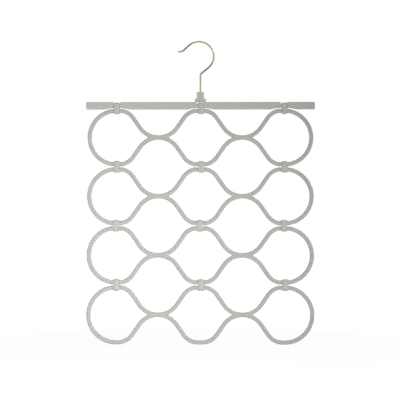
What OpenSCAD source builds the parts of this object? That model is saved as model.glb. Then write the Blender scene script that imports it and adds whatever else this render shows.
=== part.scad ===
// Folding scarf hanger: a swivelling wire hook, a moulded top bar and four wavy rows of three
// rings each, which hang one below another on press-on clips and fold up against each other.
//
// Frame: millimetres, +X to the right, +Y to the back, +Z up. The origin is the point on the
// swivel axis where the inside of the hook rests on a rail.

/* [Wire hook] */
// Diameter of the hook wire
wire_d = 3.3; // [2.8:0.1:3.6]
// Centreline radius of the big bend that goes over the rail
hook_r = 23.8; // [20:0.1:28]
// How far the big bend's centre lies to the nose side of the swivel axis
hook_shift = 2.4; // [0:0.1:4]
// Angle below horizontal at which the big bend starts, degrees
throat_angle = 50; // [45:1:60]
// Angle at which the big bend ends above the nose, degrees
nose_angle = 133; // [125:1:140]
// Straight stretch between the big bend and the nose
nose_len = 10.5; // [4:0.5:14]
// Centreline radius of the small bend at the nose
nose_r = 10; // [6:0.5:14]
// Angle through which the nose turns back up, degrees
nose_turn = 47; // [40:1:55]
// Straight end of the nose
nose_tip_len = 2.2; // [1:0.1:5]
// Centreline radius of the bend at the top of the shank
neck_bend_r = 4; // [3:0.5:6]
// Height of the rail seat above the journals of the top bar
hook_drop = 101.3; // [90:0.1:120]

/* [Hook boss] */
// Width of the boss that the wire turns in
boss_w = 11.7; // [10:0.1:14]
// Height of the boss top above the journals
boss_top = 21.3; // [18:0.1:26]
// Depth of the boss, front to back
boss_d = 9.6; // [8:0.1:9.8]
// Radius of the rounded edges of the boss and its saddle
boss_edge_r = 0.8; // [0.4:0.1:1.5]
// Width of the saddle under the boss
saddle_w = 17.7; // [16:0.1:20]
// Height of the saddle top above the journals
saddle_top = 10.6; // [10:0.1:13]
// Height of the saddle's lower edge above the journals
saddle_low = 3.8; // [3.6:0.1:5]
// Height of the ceiling of the window over the middle clip, above the journals
window_top = 6.4; // [6:0.1:7]
// Radius of the pocket that hides the riveted wire end
pocket_r = 4; // [3.8:0.1:4.4]
// Height of the pocket ceiling above the journals
pocket_top = 10.2; // [9.8:0.1:10.4]
// Radial running clearance of the wire in the boss
wire_clear = 0.07; // [0.03:0.01:0.1]
// Radius of the steel washer
washer_r = 3.4; // [3:0.1:3.6]
// Thickness of the steel washer
washer_t = 0.8; // [0.6:0.1:1]
// Play between the washer and the pocket ceiling
washer_gap = 0.1; // [0.05:0.05:0.3]
// Radius of the riveted wire end
rivet_r = 2.5; // [2.2:0.1:2.8]
// Height of the riveted wire end
rivet_h = 1.4; // [1:0.1:1.6]

/* [Top bar] */
// Length of the top bar
bar_w = 365; // [350:1:380]
// Height of the top bar
bar_h = 11.6; // [11:0.1:13]
// Depth of the top bar, front to back
bar_d = 7.2; // [7:0.1:7.4]
// How far the middle of the bar's height lies below its journals
bar_sag = 0.2; // [0:0.1:0.5]
// Radius of the bar's rounded edges
bar_edge_r = 1.5; // [1:0.1:2]
// Width of the arch cut under the bar over each ring
arch_w = 42; // [40:1:50]
// Depth of the crown of each arch below the journals
arch_crown = 3.2; // [3.2:0.1:3.8]
// Width of the notch that holds a clip
notch_w = 11.4; // [11.4:0.1:13]

/* [Rows of rings] */
// Distance between the middles of neighbouring rings
ring_pitch = 133.4; // [130:0.1:136]
// Height of a row between the crests of its centreline
wave_h = 86.3; // [84:0.1:90]
// Thickness of a row's bar, seen from the front
row_t = 6.5; // [6.4:0.1:7]
// Depth of a row's bar, front to back
row_d = 6.6; // [6.6:0.1:6.8]
// Radius of the rounded edges of a row's bar
row_edge_r = 2.2; // [1.5:0.1:2.4]
// Centreline radius of the bend beside a crest
crest_r = 27.2; // [24:0.1:30]
// Half length of the level stretch at a crest
crest_half = 3.8; // [2:0.1:5]
// Slope of the straight flanks between rings, degrees
flank_angle = 55.3; // [54:0.1:57]
// Half the distance between the two centrelines at a waist
waist_rise = 0.25; // [0.1:0.05:0.5]
// Radius in the crotch where the two waves part
crotch_r = 1.2; // [0.8:0.1:2]
// Half length of the straight round journal at a crest that carries a clip
journal_half = 7.3; // [6.8:0.1:7.6]
// How far a journal's axis lies inside the crest of the centreline
journal_sink = 0.7; // [0.6:0.1:0.8]

/* [Clips] */
// Diameter of every journal, on the rows and on the top bar
journal_d = 6.4; // [6:0.1:6.4]
// Radial running clearance between a journal and a clip eye
eye_clear = 0.05; // [0.02:0.01:0.1]
// Distance between the two journals that a clip joins
link_drop = 8.8; // [8.6:0.1:9.2]
// Width of a clip, along the journals
clip_w = 9.2; // [8:0.1:9.4]
// Radius of a clip's rounded ends
clip_end_r = 4.9; // [4.8:0.1:5]
// Depth of a clip, front to back
clip_d = 9.4; // [9.2:0.1:9.4]
// Radius of a clip's four corners, seen from the front
clip_corner_r = 1.6; // [0.5:0.1:2]
// Height of the slot through which a journal is pressed into an eye
snap_slot = 5; // [4.6:0.1:5.4]
// How far the left, middle and right clips of the first tier have slid along their journals
slide_1 = [-0.3, 1, 0.9]; // [-1:0.1:1]
// The same for the second tier
slide_2 = [0.5, 1.4, 0.6]; // [-1.5:0.1:1.5]
// The same for the third tier
slide_3 = [-0.7, -0.5, -0.8]; // [-1.5:0.1:1.5]
// The same for the fourth tier
slide_4 = [0.5, 1.3, 1]; // [-1.5:0.1:1.5]

/* [Hidden] */
$fn = 64;
tiers = [1, 2, 3, 4];
sides = ["left", "centre", "right"];

// Colours, as seen
wire_colour = "#c2b280";
steel_colour = "#a8a8a4";
bar_colour = "#b6b5b0";
row_colour = "#bcbcb5";
clip_colour = "#bab9b3";

// How far a shape is sunk into its neighbour, or a cut runs past a face
sink = 1;

// Bends are a hair slimmer than the straight stretches and run a little way into them, so
// that the two join inside the material and not only face to face
joint_step = 0.02;
joint_lap = 0.25;

// Heights of the journals: the top bar's, then the upper and lower ones of each row
journal_r = journal_d / 2;
bar_journal_z = -hook_drop;
row_journal_gap = wave_h - 2 * journal_sink;
row_pitch = row_journal_gap + link_drop;
function clip_z(tier) = bar_journal_z - (tier - 1) * row_pitch - link_drop / 2;
function row_z(tier) = clip_z(tier) - link_drop / 2 - row_journal_gap / 2;
ring_x = [-ring_pitch, 0, ring_pitch];
clip_slide = [slide_1, slide_2, slide_3, slide_4];

// The centreline of a row runs from the crest to the waist as a level stretch, the crest
// bend, a straight flank and the waist bend. The two bend radii and the flank follow from
// the distance and the height that they have to cover together.
flank_sin = sin(flank_angle);
flank_cos = cos(flank_angle);
reach = ring_pitch / 2 - crest_half;
fall = wave_h / 2 - waist_rise;
solve_det = flank_sin * flank_sin - flank_cos * (1 - flank_cos);
radii_sum = (reach * flank_sin - fall * flank_cos) / solve_det;
flank_len = (fall * flank_sin - reach * (1 - flank_cos)) / solve_det;
waist_r = radii_sum - crest_r;
ring_r = wave_h / 2;
crest_z = ring_r - crest_r;
flank_start = [crest_half + crest_r * flank_sin, ring_r - crest_r * (1 - flank_cos)];
waist_centre = [ring_pitch / 2, waist_rise + waist_r];

// The crotch fillet touches the inner edges of the two waist bends
crotch_reach = waist_r + row_t / 2 + crotch_r;
crotch_x = sqrt(pow(crotch_reach, 2) - pow(waist_centre[1], 2));
crotch_touch = waist_centre[1] * crotch_r / crotch_reach;
crotch_web_d = row_d - 2 * row_edge_r;

// The hook: the centre of its big bend, and the straight stretch that leads into it
wire_r = wire_d / 2;
washer_z = bar_journal_z + pocket_top - washer_gap - washer_t;
seat_r = hook_r - wire_r;
hook_centre = [-hook_shift, -sqrt(pow(seat_r, 2) - pow(hook_shift, 2))];
throat = hook_centre + hook_r * [cos(throat_angle), -sin(throat_angle)];
throat_rise = 90 - throat_angle;
neck_corner_z = throat[1] - throat[0] * tan(throat_rise);
neck_tangent = neck_bend_r * tan(throat_angle / 2);
throat_len = throat[0] / cos(throat_rise) - neck_tangent;
nose_start = hook_centre + hook_r * [cos(nose_angle), sin(nose_angle)];
nose_slope = nose_angle + 90;

// The arch under the bar is a shallow circle through its crown and both of its feet. It is
// a short slice of a large circle, so it takes more facets than the rest
arch_facets = 360;
bar_low = bar_sag + bar_h / 2;
arch_rise = bar_low - arch_crown;
arch_r = (pow(arch_w / 2, 2) + pow(arch_rise, 2)) / (2 * arch_rise);

// A rectangle with round corners, centred
module round_rect(w, h, r) {
    square([w - 2 * r, h], center = true);
    square([w, h - 2 * r], center = true);
    for (x = [r - w / 2, w / 2 - r])
        for (y = [r - h / 2, h / 2 - r])
            translate([x, y]) circle(r);
}

// A block with round edges along X and round corners seen from the front, centred
module round_block(w, d, h, r) {
    intersection() {
        rotate([90, 0, 90])
            linear_extrude(height = w, center = true) round_rect(d, h, r);
        rotate([90, 0, 0])
            linear_extrude(height = d, center = true) round_rect(w, h, r);
        linear_extrude(height = h, center = true) round_rect(w, d, r);
    }
}

// A cylinder along X, centred
module bar_x(r, len) {
    rotate([0, 90, 0]) cylinder(r = r, h = len, center = true);
}

// An arc of the given section in the XZ plane, with angles from +X towards +Z, lapped into
// what it joins at both ends
module bend(centre, r, from, to) {
    lap = joint_lap / r * 180 / PI;
    translate([centre[0], 0, centre[1]])
        rotate([90, 0, 0])
            rotate([0, 0, from - lap])
                rotate_extrude(angle = to - from + 2 * lap)
                    translate([r, 0]) children();
}

// A straight stretch of the given section in the XZ plane, rising at an angle
module run(start, rise, len) {
    translate([start[0], 0, start[1]])
        rotate([0, 90 - rise, 0])
            linear_extrude(height = len) children();
}

// The hook wire, riveted over its washer at the lower end
module hook_wire() {
    bend_wire_r = wire_r - joint_step;
    rivet_z = washer_z - rivet_h;
    shank_z = rivet_z + rivet_h / 2;
    neck_z = neck_corner_z - neck_tangent;
    tip = nose_start + nose_len * [cos(nose_slope), sin(nose_slope)];
    turn_centre = tip + nose_r * [sin(nose_slope), -cos(nose_slope)];
    turn_start = nose_slope + 90;
    turn_end = turn_start - nose_turn;
    end_heading = nose_slope - nose_turn;
    end_start = turn_centre + nose_r * [cos(turn_end), sin(turn_end)];
    throat_start = throat - throat_len * [cos(throat_rise), sin(throat_rise)];
    color(wire_colour) {
        // Shank and riveted end
        translate([0, 0, shank_z]) cylinder(r = wire_r, h = neck_z - shank_z);
        translate([0, 0, rivet_z])
            rotate_extrude()
                polygon([
                    [0, 0],
                    [rivet_r - rivet_h / 2, 0],
                    [rivet_r, rivet_h / 2],
                    [rivet_r, rivet_h],
                    [0, rivet_h]
                ]);
        // Bend at the top of the shank and the stretch that leads out to the big bend
        bend([neck_bend_r, neck_z], neck_bend_r, 180 - throat_angle, 180) circle(bend_wire_r);
        run(throat_start, throat_rise, throat_len) circle(wire_r);
        // Big bend, nose and its straight tip
        bend(hook_centre, hook_r, -throat_angle, nose_angle) circle(bend_wire_r);
        run(nose_start, nose_slope, nose_len) circle(wire_r);
        bend(turn_centre, nose_r, turn_end, turn_start) circle(bend_wire_r);
        run(end_start, end_heading, nose_tip_len) circle(wire_r);
    }
}

// The washer that spreads the hook's pull under the boss
module hook_washer() {
    color(steel_colour)
        translate([0, 0, washer_z])
            difference() {
                cylinder(r = washer_r, h = washer_t);
                translate([0, 0, -sink]) cylinder(r = wire_r + wire_clear, h = washer_t + 2 * sink);
            }
}

// The moulded top bar: a strip with three necks for the clips and the boss for the hook
module top_bar() {
    bar_top = bar_h / 2 - bar_sag;
    color(bar_colour)
        translate([0, 0, bar_journal_z]) {
            difference() {
                union() {
                    translate([0, 0, -bar_sag]) round_block(bar_w, bar_d, bar_h, bar_edge_r);
                    boss_block(saddle_w, saddle_low, saddle_top);
                    boss_block(boss_w, saddle_top - sink, boss_top);
                }
                for (x = ring_x)
                    translate([x, 0, -arch_crown - arch_r]) arch_cut();
                notch(ring_x[0], bar_top + sink);
                notch(ring_x[1], window_top);
                notch(ring_x[2], bar_top + sink);
                cylinder(r = pocket_r, h = pocket_top);
                cylinder(r = wire_r + wire_clear, h = boss_top + sink);
            }
            for (x = ring_x)
                translate([x, 0, 0]) bar_x(journal_r, notch_w + 2 * sink);
        }
}

// The disc that cuts one arch and leaves its front and back edges as round as the bar's
module arch_cut() {
    cut_d = boss_d + 2 * sink;
    rotate([90, 0, 0])
        rotate_extrude($fn = arch_facets)
            difference() {
                translate([0, -cut_d / 2]) square([arch_r + bar_edge_r, cut_d]);
                translate([arch_r + bar_d / 2, 0]) round_rect(bar_d, bar_d, bar_edge_r);
            }
}

// One block of the boss, between two heights above the journals
module boss_block(w, low, top) {
    translate([0, 0, (low + top) / 2])
        round_block(w, boss_d, top - low, boss_edge_r);
}

// The space cut out of the bar round one clip, up to a height above the journals
module notch(x, top) {
    translate([x - notch_w / 2, -boss_d, -bar_h])
        cube([notch_w, 2 * boss_d, bar_h + top]);
}

// Section of a row's bar, made slimmer all round by a step
module row_section(step) {
    round_rect(row_t - 2 * step, row_d - 2 * step, row_edge_r);
}

// A quarter of an inner wave: from a crest at x = 0 down to the waist on its right
module crest_to_waist() {
    bend([crest_half, crest_z], crest_r, 90 - flank_angle, 90) row_section(joint_step);
    run(flank_start, -flank_angle, flank_len) row_section(0);
}

// The waist bend to the right of x = 0, cut level where the mirrored half meets it
module waist() {
    intersection() {
        bend(waist_centre, waist_r, 270 - flank_angle, 270 + flank_angle) row_section(joint_step);
        translate([0, -row_d, 0]) cube([ring_pitch, 2 * row_d, wave_h]);
    }
    // The web that rounds the crotch on both sides
    for (side = [0, 1])
        translate([waist_centre[0], 0, 0]) mirror([side, 0, 0])
            rotate([90, 0, 0]) linear_extrude(height = crotch_web_d, center = true)
                difference() {
                    polygon([
                        [0, 0],
                        [crotch_x, 0],
                        [crotch_x * (1 - crotch_r / crotch_reach), crotch_touch],
                        [crotch_x / 2, row_t / 2]
                    ]);
                    translate([crotch_x, 0]) circle(crotch_r);
                }
}

// The upper half of a row, without its end rings
module row_half() {
    for (x = ring_x)
        translate([x, 0, 0]) {
            if (x < ring_pitch) crest_to_waist();
            if (x > -ring_pitch) mirror([1, 0, 0]) crest_to_waist();
        }
    for (x = [ring_x[0], ring_x[1]])
        translate([x, 0, 0]) waist();
}

// The level stretches at the lower crests of a row that carries no clips below
module plain_crests() {
    for (x = ring_x) {
        from = x > -ring_pitch ? -crest_half : 0;
        to = x < ring_pitch ? crest_half : 0;
        run([x + from, -ring_r], 0, to - from) row_section(0);
    }
}

// One moulded row: two mirrored waves, two round ends and straight journals at the crests
// that carry a clip, which the lower crests of the last row do not
module row_frame(tier) {
    zone = row_t + 2 * sink;
    last = tier == tiers[len(tiers) - 1];
    journal_sides = last ? [1] : [-1, 1];
    color(row_colour)
        translate([0, 0, row_z(tier)]) {
            difference() {
                union() {
                    row_half();
                    mirror([0, 0, 1]) row_half();
                    bend([ring_pitch, 0], ring_r, -90, 90) row_section(joint_step);
                    bend([-ring_pitch, 0], ring_r, 90, 270) row_section(joint_step);
                    if (last) plain_crests();
                }
                for (x = ring_x)
                    for (side = journal_sides)
                        translate([x, 0, side * ring_r])
                            cube([2 * journal_half, row_d + 2 * sink, zone], center = true);
            }
            for (x = ring_x)
                for (side = journal_sides)
                    translate([x, 0, side * row_journal_gap / 2])
                        bar_x(journal_r, 2 * journal_half + 2 * sink);
        }
}

// One press-on clip: two eyes in a flat-faced body, each open at the back
module clip_body() {
    eye_r = journal_r + eye_clear;
    clip_h = link_drop + 2 * clip_end_r;
    cut_w = clip_w + 2 * sink;
    difference() {
        intersection() {
            rotate([90, 0, 90])
                linear_extrude(height = clip_w, center = true) {
                    square([2 * clip_end_r, link_drop], center = true);
                    for (z = [-link_drop / 2, link_drop / 2])
                        translate([0, z]) circle(clip_end_r);
                }
            rotate([90, 0, 0])
                linear_extrude(height = clip_d, center = true)
                    round_rect(clip_w, clip_h, clip_corner_r);
        }
        for (z = [-link_drop / 2, link_drop / 2])
            translate([0, 0, z]) {
                bar_x(eye_r, cut_w);
                translate([-cut_w / 2, 0, -snap_slot / 2]) cube([cut_w, clip_d, snap_slot]);
            }
    }
}

// The clip of one tier on one side
module clip(tier, side) {
    color(clip_colour)
        translate([ring_x[side] + clip_slide[tier - 1][side], 0, clip_z(tier)])
            clip_body();
}

hook_wire();
hook_washer();
top_bar();
for (tier = tiers)
    row_frame(tier);
for (tier = tiers)
    for (side = [0, 1, 2])
        clip(tier, side);
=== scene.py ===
# %% [markdown]
# A folding scarf hanger. The real one is a swivelling wire hook, a moulded top bar, and four
# moulded rows of three rings each, which hang one below another on small press-on clips.
# This lesson builds it piece by piece round a frame that already has the right sizes, so every
# piece is drawn at its real place, in metres. X is right, Y is back and Z is up.

# %% Load the frame
import math
import bpy
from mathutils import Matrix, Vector


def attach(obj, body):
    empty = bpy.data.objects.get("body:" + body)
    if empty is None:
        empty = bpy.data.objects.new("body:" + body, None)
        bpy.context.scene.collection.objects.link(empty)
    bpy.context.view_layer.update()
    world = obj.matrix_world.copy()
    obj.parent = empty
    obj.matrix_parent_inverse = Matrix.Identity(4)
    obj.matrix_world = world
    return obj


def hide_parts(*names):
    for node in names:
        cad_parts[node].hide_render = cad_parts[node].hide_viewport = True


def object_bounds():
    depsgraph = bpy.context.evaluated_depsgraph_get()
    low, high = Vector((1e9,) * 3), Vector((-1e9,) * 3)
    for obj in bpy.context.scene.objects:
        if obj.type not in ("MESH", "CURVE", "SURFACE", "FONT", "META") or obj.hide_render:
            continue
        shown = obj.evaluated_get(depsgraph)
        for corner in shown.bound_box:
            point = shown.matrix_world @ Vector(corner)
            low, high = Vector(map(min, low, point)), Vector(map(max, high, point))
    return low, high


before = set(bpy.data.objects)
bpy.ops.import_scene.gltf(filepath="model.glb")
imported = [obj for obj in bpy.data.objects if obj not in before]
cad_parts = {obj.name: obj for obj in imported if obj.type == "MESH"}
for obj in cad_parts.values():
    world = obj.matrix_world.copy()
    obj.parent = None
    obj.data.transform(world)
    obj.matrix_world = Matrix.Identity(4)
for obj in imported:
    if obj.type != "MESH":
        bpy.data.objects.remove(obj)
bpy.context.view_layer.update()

# %% [markdown]
# Three small helpers serve the whole file. The first turns millimetres into metres, the second
# turns a colour as a paint chart writes it into the linear values that Blender mixes, and the
# third adds one node with its settings and links.

# %% Helpers
def mm(value):
    return value * 0.001


def linear(hex_colour):
    parts = [int(hex_colour[i:i + 2], 16) / 255 for i in (1, 3, 5)]
    return [c / 12.92 if c <= 0.04045 else ((c + 0.055) / 1.055) ** 2.4 for c in parts] + [1.0]


def add(tree, kind, inputs=None, **settings):
    """Adds one node. Each input is a plain value, or the socket of another node to link."""
    node = tree.nodes.new(kind)
    for name, value in settings.items():
        setattr(node, name, value)
    for key, value in (inputs or {}).items():
        if isinstance(value, bpy.types.NodeSocket):
            tree.links.new(value, node.inputs[key])
        else:
            node.inputs[key].default_value = value
    return node


print("a red such as #b03020 is", [round(c, 3) for c in linear("#b03020")])

# %% [markdown]
# The sizes. They are those of the frame, worked out once here so that the lines below can name
# them. A row's bar goes up and down as a wave: level at each crest, a bend, a straight flank and
# a wider bend at the waist, where it meets its mirror image.

# %% Sizes
ring_pitch = mm(133.4)
ring_x = [-ring_pitch, 0.0, ring_pitch]
ring_r = mm(43.15)
bar_t = mm(6.5)
bar_depth = mm(6.6)
crest_half = mm(3.8)
crest_r = mm(27.2)
flank = math.radians(55.3)
waist_rise = mm(0.25)
crotch_r = mm(1.2)
journal_r = mm(3.2)
journal_half = mm(7.3)
journal_sink = mm(0.7)
link_drop = mm(8.8)
top_z = mm(-101.3)

reach = ring_pitch / 2 - crest_half
fall = ring_r - waist_rise
spread = math.sin(flank) ** 2 - math.cos(flank) * (1 - math.cos(flank))
waist_r = (reach * math.sin(flank) - fall * math.cos(flank)) / spread - crest_r
journal_gap = 2 * (ring_r - journal_sink)
row_count = 4
row_drop = journal_gap + link_drop
row_z = [top_z - link_drop - journal_gap / 2 - row_drop * i for i in range(row_count)]
clip_z = [top_z - link_drop / 2 - row_drop * i for i in range(row_count)]
print("waist bend", round(waist_r * 1000, 2), "mm, rows at", [round(z * 1000, 1) for z in row_z])

# %% [markdown]
# Every moulded piece starts as an outline, as on a drawing board. An outline is a loop of a few
# corners, and each corner carries the radius that rounds it, the number of facets for that
# bend, and how much of the piece's edge rounding it takes. The loops are the edges of a mesh,
# because mesh points can carry such values by name. Material lies on the left of each loop.

# %% Outline helpers
facet_length = mm(1.1)


def corner(x, y, radius=0.0, turn=math.pi / 2, edge=1.0):
    """A corner of an outline, with enough facets for the angle that it turns through."""
    facets = max(3, math.ceil(radius * turn / facet_length)) if radius else 1
    return {"at": (x, y, 0), "radius": radius, "facets": facets, "edge": edge}


def arc(centre, radius, start, end, count, edge=1.0):
    """Plain points on a circle, for bends that no single corner can make."""
    steps = [start + (end - start) * i / count for i in range(count + 1)]
    return [corner(centre[0] + radius * math.cos(a), centre[1] + radius * math.sin(a), edge=edge)
            for a in steps]


def moved(corners, x_way=1, y_way=1, shift=0.0):
    """Copies of corners, turned over left to right or top to bottom, and moved sideways."""
    return [dict(c, at=(shift + x_way * c["at"][0], y_way * c["at"][1], 0)) for c in corners]


def draw(name, loops, closed=True):
    """A mesh of loose outlines, with each corner's values stored on its point."""
    points = [c for loop in loops for c in loop]
    edges, first = [], 0
    for loop in loops:
        last = first + len(loop) - 1
        edges += [(i, i + 1) for i in range(first, last)] + ([(last, first)] if closed else [])
        first = last + 1
    mesh = bpy.data.meshes.new(name)
    mesh.from_pydata([c["at"] for c in points], edges, [])
    for key, kind in (("radius", "FLOAT"), ("facets", "INT"), ("edge", "FLOAT")):
        values = mesh.attributes.new("corner_" + key, kind, "POINT").data
        values.foreach_set("value", [c[key] for c in points])
    drawing = bpy.data.objects.new(name, mesh)
    bpy.context.scene.collection.objects.link(drawing)
    return drawing


print("a square corner rounded to 10 mm gets", corner(0, 0, mm(10))["facets"], "facets")

# %% [markdown]
# Geometry Nodes turn an outline into a moulded slab: rounded corners first, then a wall swept
# round every loop, rounded over at the front and back, and two flat faces that close it. The
# wall has a fine bead halfway, which is where the two halves of the mould meet.

# %% Node tree for a moulded slab
def new_tree(name, sizes):
    """A tree with a geometry input, the named sizes and a material. Returns it and its inputs."""
    tree = bpy.data.node_groups.new(name, "GeometryNodeTree")
    kinds = {float: "NodeSocketFloat", int: "NodeSocketInt", tuple: "NodeSocketVector",
             bool: "NodeSocketBool", type(None): "NodeSocketObject"}
    sockets = [("Geometry", "INPUT", "NodeSocketGeometry")]
    sockets += [(label, "INPUT", kinds[type(default)]) for label, default in sizes.items()]
    sockets += [("Material", "INPUT", "NodeSocketMaterial"), ("Geometry", "OUTPUT", "NodeSocketGeometry")]
    for label, way, kind in sockets:
        socket = tree.interface.new_socket(label, in_out=way, socket_type=kind)
        if sizes.get(label) is not None:
            socket.default_value = sizes[label]
    return tree, add(tree, "NodeGroupInput").outputs


row_edge = mm(2.2)
bead_half = mm(0.2)
weld_distance = mm(0.004)
slab, given = new_tree("Moulded slab", {
    "Thickness": bar_depth, "Edge radius": row_edge, "Edge steps": 6, "Bead height": mm(0.06)})

# Corners become bends
radius = add(slab, "GeometryNodeInputNamedAttribute", {"Name": "corner_radius"}).outputs[0]
facets = add(slab, "GeometryNodeInputNamedAttribute", {"Name": "corner_facets"}, data_type="INT")
share = add(slab, "GeometryNodeInputNamedAttribute", {"Name": "corner_edge"}).outputs[0]
loops = add(slab, "GeometryNodeMeshToCurve", {0: given["Geometry"]})
bends = add(slab, "GeometryNodeFilletCurve", {
    "Curve": loops.outputs[0], "Radius": radius, "Count": facets.outputs[0]}, mode="POLY")

# The way out of the material, and the edge radius, at every point of the loops
along = add(slab, "GeometryNodeInputTangent").outputs[0]
outward = add(slab, "ShaderNodeVectorMath", {0: along, 1: (0, 0, 1)}, operation="CROSS_PRODUCT")
edge = add(slab, "ShaderNodeMath", {0: given["Edge radius"], 1: share}, operation="MULTIPLY")
place = add(slab, "GeometryNodeInputPosition").outputs[0]
outline = add(slab, "GeometryNodeCaptureAttribute")
for kind, name in (("VECTOR", "place"), ("VECTOR", "outward"), ("FLOAT", "edge")):
    outline.capture_items.new(kind, name)
slab.links.new(bends.outputs[0], outline.inputs[0])
slab.links.new(place, outline.inputs[1])
slab.links.new(outward.outputs[0], outline.inputs[2])
slab.links.new(edge.outputs[0], outline.inputs[3])
_, place, outward, edge = outline.outputs[:4]

# Levels of the wall, from front to back: both rounded edges, and three for the bead
count = add(slab, "ShaderNodeMath", {0: given["Edge steps"], 1: 2.0, 2: 5.0}, operation="MULTIPLY_ADD")
line = add(slab, "GeometryNodeCurvePrimitiveLine", {"End": (0, 0, 1)})
stack = add(slab, "GeometryNodeResampleCurve", {0: line.outputs[0], "Count": count.outputs[0]})
levels = add(slab, "GeometryNodeCaptureAttribute")
levels.capture_items.new("FLOAT", "level")
level_index = add(slab, "GeometryNodeSplineParameter").outputs["Index"]
slab.links.new(stack.outputs[0], levels.inputs[0])
slab.links.new(level_index, levels.inputs[1])
level = levels.outputs[1]
middle = add(slab, "ShaderNodeMath", {0: given["Edge steps"], 1: 2.0}, operation="ADD").outputs[0]
signed = add(slab, "ShaderNodeMath", {0: middle, 1: level}, operation="SUBTRACT").outputs[0]
side = add(slab, "ShaderNodeMath", {0: signed}, operation="SIGN").outputs[0]
distance = add(slab, "ShaderNodeMath", {0: signed}, operation="ABSOLUTE").outputs[0]
step = add(slab, "ShaderNodeMath", {0: middle, 1: distance}, operation="SUBTRACT").outputs[0]

# The rounding: a quarter circle from the flat face to the wall
part = add(slab, "ShaderNodeMath", {0: step, 1: given["Edge steps"]}, operation="DIVIDE", use_clamp=True)
angle = add(slab, "ShaderNodeMath", {0: part.outputs[0], 1: math.pi / 2}, operation="MULTIPLY").outputs[0]
sine = add(slab, "ShaderNodeMath", {0: angle}, operation="SINE").outputs[0]
cosine = add(slab, "ShaderNodeMath", {0: angle}, operation="COSINE").outputs[0]
left = add(slab, "ShaderNodeMath", {0: 1.0, 1: sine}, operation="SUBTRACT").outputs[0]
drop = add(slab, "ShaderNodeMath", {0: 1.0, 1: cosine}, operation="SUBTRACT").outputs[0]
inset = add(slab, "ShaderNodeMath", {0: edge, 1: left}, operation="MULTIPLY").outputs[0]
lowered = add(slab, "ShaderNodeMath", {0: edge, 1: drop}, operation="MULTIPLY").outputs[0]
half = add(slab, "ShaderNodeMath", {0: given["Thickness"], 1: 0.5}, operation="MULTIPLY").outputs[0]
wall_rise = add(slab, "ShaderNodeMath", {0: half, 1: lowered}, operation="SUBTRACT").outputs[0]

# The bead: one level on each side of it, and its crown in the middle
beside = add(slab, "ShaderNodeMath", {0: distance, 1: 1.5}, operation="LESS_THAN").outputs[0]
crown = add(slab, "ShaderNodeMath", {0: distance, 1: 0.5}, operation="LESS_THAN").outputs[0]
beyond = add(slab, "ShaderNodeMath", {0: crown, 1: 1.0}, operation="SUBTRACT").outputs[0]
bead_out = add(slab, "ShaderNodeMath", {
    0: beyond, 1: given["Bead height"]}, operation="MULTIPLY").outputs[0]
bead_rise = add(slab, "ShaderNodeMath", {0: distance, 1: bead_half}, operation="MULTIPLY").outputs[0]
rise = add(slab, "ShaderNodeMix", {0: beside, 2: wall_rise, 3: bead_rise}).outputs[0]
out = add(slab, "ShaderNodeMath", {0: bead_out, 1: inset}, operation="SUBTRACT").outputs[0]

# Each wall point: its place on the outline, moved in or out and forward or back
across = add(slab, "ShaderNodeVectorMath", {0: outward, "Scale": out}, operation="SCALE").outputs[0]
height = add(slab, "ShaderNodeMath", {0: rise, 1: side}, operation="MULTIPLY").outputs[0]
lift = add(slab, "ShaderNodeCombineXYZ", {"Z": height}).outputs[0]
shift = add(slab, "ShaderNodeVectorMath", {0: across, 1: lift}).outputs[0]
spot = add(slab, "ShaderNodeVectorMath", {0: place, 1: shift}).outputs[0]
swept = add(slab, "GeometryNodeCurveToMesh", {0: outline.outputs[0], 1: levels.outputs[0]})
wall = add(slab, "GeometryNodeSetPosition", {0: swept.outputs[0], "Position": spot}).outputs[0]

# How far each point lies on a rounded edge, which hands rub: 0 on the flats, 1 in mid-bend
rubbed = add(slab, "ShaderNodeMath", {0: angle, 1: 2.0}, operation="MULTIPLY").outputs[0]
rub = add(slab, "ShaderNodeMath", {0: rubbed}, operation="SINE").outputs[0]
wall = add(slab, "GeometryNodeStoreNamedAttribute", {0: wall, "Name": "rub", "Value": rub}).outputs[0]

# The two flat faces, inside the rounded edges
margin = add(slab, "ShaderNodeMath", {0: edge, 1: given["Bead height"]}).outputs[0]
back_in = add(slab, "ShaderNodeMath", {0: margin, 1: -1.0}, operation="MULTIPLY").outputs[0]
inward = add(slab, "ShaderNodeVectorMath", {0: outward, "Scale": back_in}, operation="SCALE").outputs[0]
rim = add(slab, "GeometryNodeSetPosition", {0: outline.outputs[0], "Offset": inward}).outputs[0]
face = add(slab, "GeometryNodeFillCurve", {0: rim}).outputs[0]
turned = add(slab, "GeometryNodeFlipFaces", {0: face}).outputs[0]
up = add(slab, "ShaderNodeCombineXYZ", {"Z": half}).outputs[0]
down = add(slab, "ShaderNodeVectorMath", {0: up, "Scale": -1.0}, operation="SCALE").outputs[0]
front = add(slab, "GeometryNodeTransform", {0: face, "Translation": up}).outputs[0]
back = add(slab, "GeometryNodeTransform", {0: turned, "Translation": down}).outputs[0]
shell = add(slab, "GeometryNodeJoinGeometry")
for skin in (wall, front, back):
    slab.links.new(skin, shell.inputs[0])
welded = add(slab, "GeometryNodeMergeByDistance", {0: shell.outputs[0], "Distance": weld_distance})
finish = add(slab, "GeometryNodeSetMaterial", {0: welded.outputs[0], "Material": given["Material"]})
add(slab, "NodeGroupOutput", {0: finish.outputs[0]})
print("the slab tree has", len(slab.nodes), "nodes")

# %% [markdown]
# A tree runs on a drawing through a modifier, whose inputs are set by their identifiers. The
# evaluated result is kept as a plain mesh. Smooth shading with sharp edges only where faces
# meet at more than 35 degrees makes the rounded edges look round and the cut ends crisp. The
# level faces of the slabs are shaded flat, because smooth shading would bend the light on them
# towards their rounded edges.

# %% Helpers that turn a drawing into a piece
sharp_angle = math.radians(35)
level_limit = 0.9999


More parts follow.
